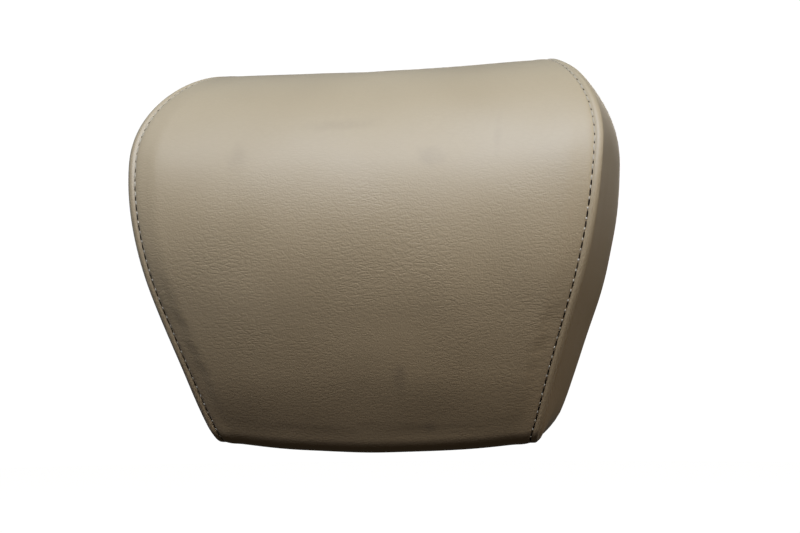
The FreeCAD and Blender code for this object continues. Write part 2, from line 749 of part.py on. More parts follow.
def pivot_holes(owner, name):
    drawing = sketch(owner, name, "YZ_Plane")
    circle(drawing, AXIS, "0", "bolt_radius + running_clearance")
    cut_through(owner, name + "_cut", drawing)


def arc_slot(drawing, middle, radius, half, first, last):
    """A slot along an arc about the point (middle, 0), between two angles in degrees."""
    centre = (amount(middle), 0)
    reach = amount(radius)
    wall = amount(half)
    start = amount(first)
    end = amount(last)
    ends = [(centre[0] + reach * math.cos(math.radians(a)), reach * math.sin(math.radians(a)))
            for a in (start, end)]
    outer_arc = arc(drawing, centre, reach + wall, start, end)
    end_arc = arc(drawing, ends[1], wall, end, end + 180)
    inner_arc = arc(drawing, centre, reach - wall, start, end)
    start_arc = arc(drawing, ends[0], wall, start + 180, start + 360)
    for one, point, other, other_point in ((outer_arc, 2, end_arc, 1), (end_arc, 2, inner_arc, 2),
                                           (inner_arc, 1, start_arc, 1), (start_arc, 2, outer_arc, 1)):
        drawing.addConstraint(Sketcher.Constraint("Tangent", one, point, other, other_point))
    for edge, sign in ((outer_arc, "+"), (inner_arc, "-")):
        place(drawing, edge, 3, middle, "0")
        dimension(drawing, "Radius", edge, "%s %s ( %s )" % (radius, sign, half))
    for edge, angle in ((start_arc, first), (end_arc, last)):
        dimension(drawing, "DistanceX", -1, 1, edge, 3,
                  "%s + %s * cos(( %s ) * 1 deg)" % (middle, radius, angle))


tilt_bracket = folded_plate("tilt_bracket", "0 - ( %s )" % BACK, "tilt_plate_width",
                            "tilt_plate_height", True, EAR_INNER, (
    (BACK + " + plate / 2", "0 - ear_root_height"),
    (AXIS + " + ear_nose_radius / 3", "0 - ear_nose_radius"),
    (AXIS + " + ear_nose_radius", "0 - ear_nose_radius / 2"),
    (AXIS + " + ear_nose_radius", "ear_nose_radius"),
    (AXIS + " + stop_radius / 2", LOBE),
    (AXIS + " - stop_radius / 2", LOBE),
    (BACK + " + plate / 2", "ear_root_height + stop_web"),
))
pivot_holes(tilt_bracket, "tilt_pivot")
slots = sketch(tilt_bracket, "stop_slots", "YZ_Plane")
arc_slot(slots, AXIS, "stop_radius", "stop_pin_radius + stop_clearance", "90 - tilt_forward",
         "90 + tilt_back")
cut_through(tilt_bracket, "stop_slots_cut", slots)
plate_holes = sketch(tilt_bracket, "tilt_plate_holes", "XZ_Plane")
for place_across, place_up in SCREWS:
    circle(plate_holes, place_across, place_up, "screw_radius + stop_clearance")
cut_through(tilt_bracket, "tilt_plate_drilling", plate_holes)

washer = ring("screw_washer", PLATE_FACE, PLATE_FACE + " + screw_washer_sheet",
              "screw_radius + stop_clearance", "screw_washer_radius", "Y_Axis")
bracket_washers = copies("bracket_washers", washer, SCREWS)
SEAT = PLATE_FACE + " + screw_washer_sheet"
screw = turned("bracket_screw", (
    (SEAT + " - screw_length", "0"),
    (SEAT + " - screw_length", "screw_radius - screw_chamfer"),
    (SEAT + " - screw_length + screw_chamfer", "screw_radius"),
    (SEAT, "screw_radius"),
    (SEAT, "screw_head_radius"),
    (SEAT + " + screw_head_height / 2", "screw_head_radius"),
    (SEAT + " + screw_head_height", "screw_head_radius * screw_head_crown"),
    (SEAT + " + screw_head_height", "0"),
), "Y_Axis")
socket = sketch(screw, "screw_socket", "XZ_Plane", "0 - ( %s ) - screw_head_height" % SEAT)
hexagon(socket, "screw_socket_radius")
pocket(screw, "screw_socket_cut", socket, "screw_socket_depth", True)
bracket_screws = copies("bracket_screws", screw, SCREWS)
BOARD_FACE = BACK + " - board_thickness"
tnut = turned("tnut", (
    (BOARD_FACE + " - tnut_flange_sheet", "screw_radius + running_clearance"),
    (BOARD_FACE + " + tnut_barrel_length", "screw_radius + running_clearance"),
    (BOARD_FACE + " + tnut_barrel_length", "tnut_barrel_radius"),
    (BOARD_FACE, "tnut_barrel_radius"),
    (BOARD_FACE, "tnut_flange_radius"),
    (BOARD_FACE + " - tnut_flange_sheet", "tnut_flange_radius"),
), "Y_Axis")
t_nuts = copies("t_nuts", tnut, SCREWS)


# ---------------------------------------------------------------- the chair bracket

chair_bracket = folded_plate("chair_bracket", "0", "chair_plate_width", "chair_plate_height", False,
                             CHAIR_EAR, (
    ("0 - plate / 2", "0 - ear_root_height - stop_web"),
    (AXIS + " - ear_nose_radius / 3", "0 - ear_nose_radius"),
    (AXIS + " - ear_nose_radius", "0 - ear_nose_radius / 2"),
    (AXIS + " - ear_nose_radius", "ear_nose_radius / 2"),
    (AXIS + " - stop_radius / 2", LOBE),
    (AXIS + " + stop_radius / 2", LOBE),
    ("0 - plate / 2", LOBE + " + stop_web"),
))
pivot_holes(chair_bracket, "chair_pivot")
pin_holes = sketch(chair_bracket, "stop_pin_holes", "YZ_Plane")
circle(pin_holes, AXIS, "stop_radius", "stop_pin_radius + running_clearance")
cut_through(chair_bracket, "stop_pin_drilling", pin_holes)
mount_holes = sketch(chair_bracket, "mount_holes", "XZ_Plane")
for place_across, place_up in corners_at("mount_spacing_across", "mount_spacing_up"):
    circle(mount_holes, place_across, place_up, "mount_hole_radius")
cut_through(chair_bracket, "mount_drilling", mount_holes)


# ---------------------------------------------------------------- the hinge

HINGE = {"deep": AXIS}
BORE = "bolt_radius + running_clearance"
STACK = "2 * ( disc_spring_sheet + disc_spring_cone )"
SPRING_END = "%s + %s" % (CHAIR_EAR_OUTER, STACK)
NUT_END = SPRING_END + " + nut_height"

spacer_tube = ring("spacer_tube", "0 - ear_gap / 2", "ear_gap / 2", BORE, "bolt_radius + spacer_wall")
shifted(spacer_tube, **HINGE)

washers = []
for side, sign in (("right", "+"), ("left", "-")):
    part_ring = ring("friction_washer_" + side, "0 %s ( %s + face_clearance )" % (sign, EAR_OUTER),
                     "0 %s ( %s )" % (sign, CHAIR_EAR), BORE, "washer_radius")
    washers.append(shifted(part_ring, **HINGE))
friction_washers = doc.addObject("Part::Compound", "friction_washers")
friction_washers.Links = washers

hinge_bolt = turned("hinge_bolt", (
    ("0 - ( %s ) - bolt_head_height" % CHAIR_EAR_OUTER, "0"),
    ("0 - ( %s ) - bolt_head_height" % CHAIR_EAR_OUTER, "bolt_head_radius - bolt_head_chamfer"),
    ("0 - ( %s ) - bolt_head_height + bolt_head_chamfer" % CHAIR_EAR_OUTER, "bolt_head_radius"),
    ("0 - ( %s )" % CHAIR_EAR_OUTER, "bolt_head_radius"),
    ("0 - ( %s )" % CHAIR_EAR_OUTER, "bolt_radius"),
    (NUT_END + " + nut_collar_height + thread_tail - thread_chamfer", "bolt_radius"),
    (NUT_END + " + nut_collar_height + thread_tail", "bolt_radius - thread_chamfer"),
    (NUT_END + " + nut_collar_height + thread_tail", "0"),
))
bolt_socket = sketch(hinge_bolt, "bolt_socket", "YZ_Plane",
                     "0 - ( %s ) - bolt_head_height" % CHAIR_EAR_OUTER)
hexagon(bolt_socket, "bolt_socket_radius")
pocket(hinge_bolt, "bolt_socket_cut", bolt_socket, "bolt_socket_depth", True)
shifted(hinge_bolt, **HINGE)

springs = []
for name, near, far in (("inner", CHAIR_EAR_OUTER, "disc_spring_cone"),
                        ("outer", CHAIR_EAR_OUTER + " + " + STACK, "0 - disc_spring_cone")):
    wall = "disc_spring_sheet" if name == "inner" else "0 - disc_spring_sheet"
    cone = turned("disc_spring_" + name, (
        (near, BORE),
        ("%s + %s" % (near, far), "disc_spring_radius"),
        ("%s + %s + %s" % (near, far, wall), "disc_spring_radius"),
        ("%s + %s" % (near, wall), BORE),
    ))
    springs.append(shifted(cone, **HINGE))
disc_springs = doc.addObject("Part::Compound", "disc_springs")
disc_springs.Links = springs

hinge_nut = body("hinge_nut")
nut_outline = sketch(hinge_nut, "nut_outline", "YZ_Plane", SPRING_END)
hexagon(nut_outline, "nut_across_flats / 2 / cos(30 deg)")
pad(hinge_nut, "nut_pad", nut_outline, "nut_height")
nut_collar = sketch(hinge_nut, "nut_collar", "YZ_Plane", NUT_END)
circle(nut_collar, "0", "0", "nut_collar_radius")
pad(hinge_nut, "nut_collar_pad", nut_collar, "nut_collar_height")
nut_bore = sketch(hinge_nut, "nut_bore", "YZ_Plane")
circle(nut_bore, "0", "0", BORE)
cut_through(hinge_nut, "nut_bore_cut", nut_bore)
shifted(hinge_nut, **HINGE)


# ---------------------------------------------------------------- the stop pin

PIN = {"deep": AXIS, "up": "stop_radius"}
GROOVE = CHAIR_EAR_OUTER + " + face_clearance"
NECK = "stop_pin_radius - clip_groove_depth"
stop_pin = turned("stop_pin", (
    ("0 - ( %s ) - stop_head_height" % CHAIR_EAR_OUTER, "0"),
    ("0 - ( %s ) - stop_head_height" % CHAIR_EAR_OUTER, "stop_head_radius"),
    ("0 - ( %s )" % CHAIR_EAR_OUTER, "stop_head_radius"),
    ("0 - ( %s )" % CHAIR_EAR_OUTER, "stop_pin_radius"),
    (GROOVE, "stop_pin_radius"),
    (GROOVE, NECK),
    (GROOVE + " + clip_thickness", NECK),
    (GROOVE + " + clip_thickness", "stop_pin_radius"),
    (GROOVE + " + clip_thickness + stop_pin_tail", "stop_pin_radius"),
    (GROOVE + " + clip_thickness + stop_pin_tail", "0"),
))
shifted(stop_pin, **PIN)
pin_clip = ring("pin_clip", GROOVE, GROOVE + " + clip_thickness", NECK, "clip_radius")
mouth = sketch(pin_clip, "clip_mouth", "YZ_Plane")
rectangle(mouth, "0 - clip_mouth / 2", "clip_mouth / 2", "0", "2 * clip_radius")
cut_through(pin_clip, "clip_mouth_cut", mouth)
shifted(pin_clip, **PIN)


# ---------------------------------------------------------------- checks and the STEP files

NODES = {
    "chair_bracket": chair_bracket,
    "hinge_bolt": hinge_bolt,
    "hinge_nut": hinge_nut,
    "disc_springs": disc_springs,
    "friction_washers": friction_washers,
    "stop_pin": stop_pin,
    "pin_clip": pin_clip,
    "tilt_bracket": tilt_bracket,
    "spacer_tube": spacer_tube,
    "bracket_screws": bracket_screws,
    "bracket_washers": bracket_washers,
    "t_nuts": t_nuts,
    "backing_board": board_body,
    "cover_staples": cover_staples,
    "rear_cap": rear_cap,
    "rear_cap_screws": rear_cap_screws,
    "foam_core": foam_core,
    "comfort_layer": comfort_layer,
    "front_panel": front_panel,
    "side_panel_right": side_panels[0],
    "side_panel_left": side_panels[1],
    "topstitch_right": topstitches[0],
    "topstitch_left": topstitches[1],
}
doc.recompute()
for item in doc.Objects:
    if "Invalid" in item.State or "Error" in item.State:
        raise RuntimeError("%s failed to build: %s" % (item.Label, item.State))
for node, item in NODES.items():
    if item.Shape.isNull() or not item.Shape.isValid():
        raise RuntimeError(node + " has no valid shape")
os.makedirs("parts", exist_ok=True)
for node, item in NODES.items():
    item.Shape.exportStep(os.path.join("parts", node + ".step"))
    print("%-18s solids %3d  volume %10.1f mm3" % (node, len(item.Shape.Solids), item.Shape.Volume))
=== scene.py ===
import math

import bmesh
import bpy
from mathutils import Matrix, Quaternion, Vector, kdtree, noise


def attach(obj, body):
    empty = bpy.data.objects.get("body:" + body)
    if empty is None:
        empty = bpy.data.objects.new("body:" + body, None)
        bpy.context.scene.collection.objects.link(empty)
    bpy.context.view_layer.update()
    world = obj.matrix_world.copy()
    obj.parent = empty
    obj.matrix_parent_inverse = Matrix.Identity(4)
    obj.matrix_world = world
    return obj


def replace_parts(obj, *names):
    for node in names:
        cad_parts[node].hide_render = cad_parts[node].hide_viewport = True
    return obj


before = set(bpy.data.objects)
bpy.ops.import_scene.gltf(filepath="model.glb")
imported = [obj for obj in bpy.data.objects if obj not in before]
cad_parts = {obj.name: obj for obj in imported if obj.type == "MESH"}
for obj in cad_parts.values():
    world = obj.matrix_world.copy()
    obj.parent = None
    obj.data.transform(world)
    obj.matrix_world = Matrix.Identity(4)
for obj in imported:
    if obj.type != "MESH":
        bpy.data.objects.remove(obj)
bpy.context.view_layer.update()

# ---------------------------------------------------------------- studio
# A pale room with one broad softbox high in front of the cushion and weaker fills from the front, the
# side and behind, so that the crown is light and the lower half turns away into shade. The camera
# stands a little lower than the cushion's middle and looks slightly upwards.

camera_aim = Vector((0, -0.1628, 0))
camera_away = 0.7765
camera_turn = math.radians(12.61)
camera_lift = math.radians(-4.75)
camera_roll = math.radians(0.52)
camera_back = Vector((math.sin(camera_turn) * math.cos(camera_lift),
                      -math.cos(camera_turn) * math.cos(camera_lift),
                      math.sin(camera_lift)))
camera = bpy.data.objects.new("camera", bpy.data.cameras.new("camera"))
camera.data.lens = 65.7
camera.data.sensor_width = 36
camera.data.shift_x = 0.0588
camera.data.shift_y = -0.026
camera.location = camera_aim + camera_back * camera_away
camera.rotation_mode = "QUATERNION"
camera.rotation_quaternion = ((-camera_back).to_track_quat("-Z", "Y")
                              @ Quaternion((0, 0, 1), -camera_roll))
bpy.context.collection.objects.link(camera)
bpy.context.scene.camera = camera
bpy.context.scene.view_settings.view_transform = "Standard"


def softbox(name, place, aim, width, height, power, colour):
    light = bpy.data.objects.new(name, bpy.data.lights.new(name, "AREA"))
    light.data.shape = "RECTANGLE"
    light.data.size = width
    light.data.size_y = height
    light.data.energy = power
    light.data.color = colour
    light.location = place
    light.rotation_euler = (Vector(aim) - Vector(place)).to_track_quat("-Z", "Y").to_euler()
    bpy.context.collection.objects.link(light)


softbox("main_softbox", (0.05, -0.99, 1.1), (0, -0.1, 0.0), 1.1, 0.8, 21.5, (0.88, 1.0, 1.19))
softbox("front_fill", (-0.3, -1.5, 1.2), (0, -0.1, 0), 1.0, 0.8, 2.8, (1, 0.86, 0.68))
softbox("side_fill", (1.4, -0.7, 1.1), (0.1, -0.1, 0), 0.8, 0.8, 11, (1, 0.94, 0.83))
softbox("rear_fill", (0.0, 1.8, 0.5), (0, -0.05, 0), 0.9, 0.7, 8, (1, 0.88, 0.72))

world = bpy.data.worlds.new("room")
bpy.context.scene.world = world
world.use_nodes = True
world.node_tree.nodes["Background"].inputs["Color"].default_value = (1, 0.88, 0.72, 1)
world.node_tree.nodes["Background"].inputs["Strength"].default_value = 0.028


def pale_surface(name, tone, glow):
    material = bpy.data.materials.new(name)
    material.use_nodes = True
    shader = material.node_tree.nodes["Principled BSDF"]
    shader.inputs["Base Color"].default_value = (tone, tone, tone, 1)
    shader.inputs["Roughness"].default_value = 0.9
    shader.inputs["Specular IOR Level"].default_value = 0
    shader.inputs["Emission Color"].default_value = (1, 1, 1, 1)
    shader.inputs["Emission Strength"].default_value = glow
    return material


def stage_piece(name, mesh_maker, material):
    form = bmesh.new()
    mesh_maker(form)
    mesh = bpy.data.meshes.new(name)
    form.to_mesh(mesh)
    form.free()
    mesh.materials.append(material)
    piece = bpy.data.objects.new(name, mesh)
    bpy.context.collection.objects.link(piece)
    piece.visible_diffuse = False
    piece.visible_glossy = False
    piece.visible_shadow = False


FLOOR_LEVEL = -0.6
FLOOR_RADIUS = 7.5
ROOM_RADIUS = 8


def floor_mesh(form):
    bmesh.ops.create_circle(form, cap_ends=True, radius=FLOOR_RADIUS, segments=96)
    bmesh.ops.translate(form, vec=(0, 0, FLOOR_LEVEL), verts=form.verts)


def wall_mesh(form):
    bmesh.ops.create_uvsphere(form, u_segments=48, v_segments=24, radius=ROOM_RADIUS)
    bmesh.ops.reverse_faces(form, faces=form.faces)


stage_piece("floor", floor_mesh, pale_surface("pale_floor", 0.9, 0.97))
stage_piece("wall", wall_mesh, pale_surface("pale_wall", 0.9, 1.0))

# ---------------------------------------------------------------- front panel
# One wide piece of beige leatherette, 1.2 mm thick, drawn over the foam from the back of the crown,
# down the face and under the bottom edge. Its long edges are sewn to the two side panels.

REAR = -0.0428
CROWN = 0.112
BASE = -0.112
REAR_RADIUS = 0.018
CROWN_RADIUS = 0.102
CHEST_RADIUS = 0.143
CHEST_DROP = 0.044
APRON_RADIUS = 0.420
FOLD_RADIUS = 0.014
HEEL_RADIUS = 0.012
END_STATION = 0.145
CROWN_RISE = 0.0045
BASE_RISE = 0.0152
FACE_FALL = 0.0092
FLANK_HALF_WIDTH = 0.1307
FLANK_RADIUS = 0.283
SHOULDER_RADIUS = 0.063
SHOULDER_CLEARANCE = 0.006
SHOULDER_SHARE = 0.5
LEAN = math.radians(19.5)
FOOT_HALF_WIDTH = 0.0789
SKIRT = BASE - 0.020
STITCH_INSET = 0.0044
CORNER_LEVEL = -0.0875
CORNER_HEIGHT = 0.0195
TUCK_LIMIT = 1.1
FRONT_TUCK = 0.001
REAR_TUCK = 0.008
FOLD_FRONT = -0.114
FOLD_REAR = -0.096
ROW_SPACING = 0.00105
BACK_ROLL = 0.005
SPINE = REAR - REAR_RADIUS
FRONT = SPINE - CROWN_RADIUS
END_MARGIN = 0.006

# depths from just before the front to just past the back, each with how far the sides swell there
SIDE_SWELLS = ((FRONT - END_MARGIN, 0.0013), ((FRONT + REAR) / 2, 0.0052), (SPINE, 0.0056),
               (REAR + END_MARGIN, 0.0015))


def arc_points(centre, radius, start, end, count):
    return [(centre[0] + radius * math.cos(start + (end - start) * k / count),
             centre[1] + radius * math.sin(start + (end - start) * k / count)) for k in range(count)]


def side_profile(share, counts=None):
    """The outline in side view, from the back of the crown to the heel; share is 0 at the middle."""
    radius = CROWN_RADIUS - FACE_FALL * share
    top = CROWN + CROWN_RISE * share
    base = BASE + BASE_RISE * share
    axis = top - radius
    chest = SPINE - radius + CHEST_RADIUS
    bend = math.asin(CHEST_DROP / CHEST_RADIUS)
    reach = CHEST_RADIUS - APRON_RADIUS
    apron = (chest - reach * math.cos(bend), axis - reach * math.sin(bend))
    level = base + FOLD_RADIUS
    span = APRON_RADIUS - FOLD_RADIUS
    fold = apron[0] - math.sqrt(span ** 2 - (level - apron[1]) ** 2)
    tilt = math.atan2(level - apron[1], fold - apron[0]) % (2 * math.pi)
    arcs = (((SPINE, top - REAR_RADIUS), REAR_RADIUS, 0, math.pi / 2),
            ((SPINE, axis), radius, math.pi / 2, math.pi),
            ((chest, axis), CHEST_RADIUS, math.pi, math.pi + bend),
            (apron, APRON_RADIUS, math.pi + bend, tilt),
            ((fold, level), FOLD_RADIUS, tilt, 1.5 * math.pi))
    heel = ((REAR - HEEL_RADIUS, base + HEEL_RADIUS), HEEL_RADIUS, 1.5 * math.pi, 2 * math.pi)
    run = REAR - HEEL_RADIUS - fold
    if counts is None:
        counts = [math.ceil(abs(end - start) * size / ROW_SPACING) for _, size, start, end in arcs]
        counts += [math.ceil(run / ROW_SPACING), math.ceil(HEEL_RADIUS * math.pi / 2 / ROW_SPACING)]
    points = []
    for (centre, size, start, end), count in zip(arcs, counts):
        points += arc_points(centre, size, start, end, count)
    points += [(fold + run * k / counts[5], base) for k in range(counts[5])]
    points += arc_points(*heel, counts[6])
    points.append((REAR, base + HEEL_RADIUS))
    return points, counts


middle_profile, profile_counts = side_profile(0)
end_profile, _ = side_profile(1, profile_counts)
ROWS = len(middle_profile)


def growth(y):
    """How far the sides swell outwards at a depth y, a cubic through the four side swells."""
    total = 0
    for place, value in SIDE_SWELLS:
        weight = value
        for other, _ in SIDE_SWELLS:
            if other != place:
                weight *= (y - other) / (place - other)
        total += weight
    return total


def eased(share):
    """A share held between 0 and 1 that starts and stops softly."""
    share = max(0, min(1, share))
    return share * share * (3 - 2 * share)


def corner_tuck(y, z):
    """How far the lower corner is rounded inwards, little at the front fold and more behind it."""
    depth = FRONT_TUCK + (REAR_TUCK - FRONT_TUCK) * eased((y - FOLD_FRONT) / (FOLD_REAR - FOLD_FRONT))
    return depth * max(0, min(TUCK_LIMIT, (CORNER_LEVEL - z) / CORNER_HEIGHT)) ** 2


def back_roll(y):
    """How far the sides turn inwards as they round the back edge."""
    back = max(0, min(BACK_ROLL, REAR - y))
    return BACK_ROLL - math.sqrt(BACK_ROLL ** 2 - (BACK_ROLL - back) ** 2)


def half_width(y, z):
    """Half the width of the cushion at a depth and height."""
    swell = growth(y)
    rolled = back_roll(y)
    foot = FOOT_HALF_WIDTH + swell / math.cos(LEAN)
    flank = FLANK_RADIUS + swell
    centre = FLANK_HALF_WIDTH + swell - flank
    level = SKIRT + (flank - (foot - centre) * math.cos(LEAN)) / math.sin(LEAN)
    shoulder = SHOULDER_RADIUS + swell
    top = CROWN + SHOULDER_CLEARANCE + SHOULDER_SHARE * swell
    middle = top - shoulder
    offset = math.sqrt(max((flank - shoulder) ** 2 - (middle - level) ** 2, 0))
    turn = math.atan2(middle - level, offset)
    if z < level - flank * math.sin(LEAN):
        return foot + (z - SKIRT) * math.tan(LEAN) - corner_tuck(y, z) - rolled
    if z < level + flank * math.sin(turn):
        return centre + math.sqrt(max(flank ** 2 - (z - level) ** 2, 0)) - rolled
    return centre + offset + math.sqrt(max(shoulder ** 2 - (z - middle) ** 2, 0)) - rolled


def on_face(row, x):
    """The point of the front panel on one row of its outline, at x."""
    share = (x / END_STATION) ** 2
    y = middle_profile[row][0] + (end_profile[row][0] - middle_profile[row][0]) * share
    z = middle_profile[row][1] + (end_profile[row][1] - middle_profile[row][1]) * share
    return Vector((x, y, z))


SEAM_GUESS = 0.1
SEAM_STEPS = 14
SEAM_STRIDE = 0.6


def seam_reach(row, inset):
    """x of the seam on one row, or of a line inset from it, closed in on step by step."""
    reach = SEAM_GUESS
    for _ in range(SEAM_STEPS):
        place = on_face(row, reach)
        edge = half_width(place.y, place.z) - inset
        reach = (1 - SEAM_STRIDE) * reach + SEAM_STRIDE * edge
    return reach


seam = [seam_reach(row, 0) for row in range(ROWS)]
stitch_reach = [seam_reach(row, STITCH_INSET / math.cos(LEAN)) for row in range(ROWS)]

# the core under the leather is blown up as a cloth, and the front panel takes over how it swells
CLOTH_FRAMES = 20
swell_moves = []
swell_tree = None
core = bmesh.new()
for layer in ("foam_core", "comfort_layer"):
    core.from_mesh(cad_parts[layer].data)
core_mesh = bpy.data.meshes.new("core_start")
core.to_mesh(core_mesh)
core.free()
core_piece = bpy.data.objects.new("core_start", core_mesh)
bpy.context.collection.objects.link(core_piece)
remesh = core_piece.modifiers.new("remesh", "REMESH")
remesh.mode = "VOXEL"
remesh.voxel_size = 0.005
bpy.context.view_layer.update()
graph = bpy.context.evaluated_depsgraph_get()
start_mesh = bpy.data.meshes.new_from_object(core_piece.evaluated_get(graph))
core_piece.modifiers.clear()
core_piece.data = start_mesh
cloth = core_piece.modifiers.new("cloth", "CLOTH")
cloth.settings.quality = 5
cloth.settings.mass = 0.3
cloth.settings.tension_stiffness = 25
cloth.settings.compression_stiffness = 25
cloth.settings.bending_stiffness = 3
cloth.settings.use_pressure = True
cloth.settings.uniform_pressure_force = 4
cloth.settings.effector_weights.gravity = 0
cloth.collision_settings.use_collision = False
cloth.point_cache.frame_start = 1
cloth.point_cache.frame_end = CLOTH_FRAMES
for moment in range(1, CLOTH_FRAMES + 1):
    bpy.context.scene.frame_set(moment)
graph = bpy.context.evaluated_depsgraph_get()
blown = core_piece.evaluated_get(graph).data
swell_tree = kdtree.KDTree(len(start_mesh.vertices))
for vertex, moved in zip(start_mesh.vertices, blown.vertices):
    swell_tree.insert(vertex.co, vertex.index)
    swell_moves.append(moved.co - vertex.co)
swell_tree.balance()
bpy.context.scene.frame_set(1)
bpy.data.objects.remove(core_piece)

SWELL_NEIGHBOURS = 12
SWELL_REACH = 0.003
SWELL_SHARE = 0.45
SWELL_CAP = 0.0022
SWELL_FADE = 0.016
SWELL_LOW = 0.045


def swell_at(place, distance, normal):
    """How far the blown-up core pushes the leather out, nothing at the seams and the base."""
    if swell_tree is None:
        return 0
    total = 0
    weights = 0
    for _, index, away in swell_tree.find_n(place, SWELL_NEIGHBOURS):
        weight = 1 / (away + SWELL_REACH)
        total += swell_moves[index].dot(normal) * weight
        weights += weight
    push = max(-SWELL_CAP, min(SWELL_CAP, SWELL_SHARE * total / weights))
    return push * min(1, distance / SWELL_FADE) ** 1.5 * eased((place.z - BASE) / SWELL_LOW)


# distances from the seam of the panel's closely spaced outer columns
EDGE_STEPS = [0, 0.0004, 0.0008, 0.0013, 0.0019, 0.0026, 0.0033, 0.0039, 0.0044, 0.0049, 0.0055,
              0.0064, 0.0078, 0.0098, 0.0125]
INNER_COLUMNS = 34
COLUMNS = 2 * (INNER_COLUMNS + len(EDGE_STEPS)) - 1


def column_place(row, column):
    """x and the distance from the nearer seam, for one column of the front panel."""
    half = COLUMNS // 2
    side = 1 if column >= half else -1
    rank = half - abs(column - half)
    if rank < len(EDGE_STEPS):
        return side * (seam[row] - EDGE_STEPS[rank]), EDGE_STEPS[rank]
    inner = seam[row] - EDGE_STEPS[-1]
    x = inner * (half - rank) / (half - len(EDGE_STEPS) + 1)
    return side * x, seam[row] - x


def hump(place, middle, spread, height):
    """The height of a soft ridge, or of a furrow if it is negative, at a distance across it."""
    return height * math.exp(-((place - middle) / spread) ** 2)


ROLL_DEPTH = 0.0009
ROLL_WIDTH = 0.0018


def strip_height(distance):
    """The strip outside the topstitch rolls over to the seam and the stitch pulls a furrow."""
    roll = -ROLL_DEPTH * max(0, 1 - distance / ROLL_WIDTH) ** 2
    strip = hump(distance, middle=0.0023, spread=0.0012, height=0.00028)
    furrow = hump(distance, middle=STITCH_INSET, spread=0.0007, height=-0.00055)
    puff = hump(distance, middle=0.0085, spread=0.0035, height=0.00035)
    return roll + strip + furrow + puff


def face_towards(form, way):
    """Turns the faces of an open sheet towards a direction."""
    bmesh.ops.recalc_face_normals(form, faces=form.faces)
    form.normal_update()
    if sum(face.normal.dot(way) * face.calc_area() for face in form.faces) < 0:
        bmesh.ops.reverse_faces(form, faces=form.faces)
        form.normal_update()


def smooth_piece(name, form):
    """Ends a bmesh as a smoothly shaded object."""
    for face in form.faces:
        face.smooth = True
    mesh = bpy.data.meshes.new(name)
    form.to_mesh(mesh)
    form.free()
    piece = bpy.data.objects.new(name, mesh)
    bpy.context.collection.objects.link(piece)
    return piece


WAVES_PER_METRE = 26
WAVE_HEIGHT = 0.0005
WAVE_FADE = 0.02

panel = bmesh.new()
bmesh.ops.create_grid(panel, x_segments=COLUMNS - 1, y_segments=ROWS - 1, size=1)
panel.verts.ensure_lookup_table()
distances = {}
for vertex in panel.verts:
    column = round((vertex.co.x + 1) / 2 * (COLUMNS - 1))
    row = round((vertex.co.y + 1) / 2 * (ROWS - 1))
    x, distance = column_place(row, column)
    distances[vertex] = distance
    vertex.co = on_face(row, x)
face_towards(panel, Vector((0, -1, 0)))
normals = {vertex: vertex.normal.copy() for vertex in panel.verts}
for vertex, distance in distances.items():
    place = vertex.co.copy()
    wave = noise.noise(place * WAVES_PER_METRE) * WAVE_HEIGHT * min(1, distance / WAVE_FADE)
    lift = strip_height(distance) + wave + swell_at(place, distance, normals[vertex])
    vertex.co = place + normals[vertex] * lift
front_panel = smooth_piece("front_panel_leather", panel)


def node(tree, kind, inputs=None, **settings):
    """A shader node with its settings, and its inputs set to values or joined to other sockets."""
    made = tree.nodes.new(kind)
    for name, value in settings.items():
        setattr(made, name, value)
    for key, value in (inputs or {}).items():
        if isinstance(value, bpy.types.NodeSocket):
            tree.links.new(value, made.inputs[key])
        else:
            made.inputs[key].default_value = value
    return made


def node_group(name, inputs, outputs):
    """An empty shader node group with named inputs and outputs."""
    tree = bpy.data.node_groups.new(name, "ShaderNodeTree")
    for label, kind, value in inputs:
        socket = tree.interface.new_socket(label, in_out="INPUT", socket_type=kind)
        socket.default_value = value
    for label, kind in outputs:
        tree.interface.new_socket(label, in_out="OUTPUT", socket_type=kind)
    return tree, tree.nodes.new("NodeGroupInput"), tree.nodes.new("NodeGroupOutput")


def graded(tree, value, start, end, low=0.0, high=1.0, **settings):
    """The output of a node that carries a value from one range over to another."""
    return node(tree, "ShaderNodeMapRange",
                {"Value": value, "From Min": start, "From Max": end, "To Min": low, "To Max": high},
                **settings).outputs[0]


def worked(tree, operation, *values):
    """The output of one step of arithmetic."""
    return node(tree, "ShaderNodeMath", dict(enumerate(values)), operation=operation).outputs[0]


def mixed(tree, share, first, second, **settings):
    """The output of a mix of two colours."""
    return node(tree, "ShaderNodeMix", {"Factor": share, "A": first, "B": second},
                data_type="RGBA", **settings).outputs["Result"]


def finish_material(name, roughness, metallic=0.0, level=0.5):
    """A new material, with the numbers that are the same all over it."""
    material = bpy.data.materials.new(name)
    material.use_nodes = True
    shader = material.node_tree.nodes["Principled BSDF"]
    shader.inputs["Roughness"].default_value = roughness
    shader.inputs["Metallic"].default_value = metallic
    shader.inputs["Specular IOR Level"].default_value = level
    return material, material.node_tree, shader


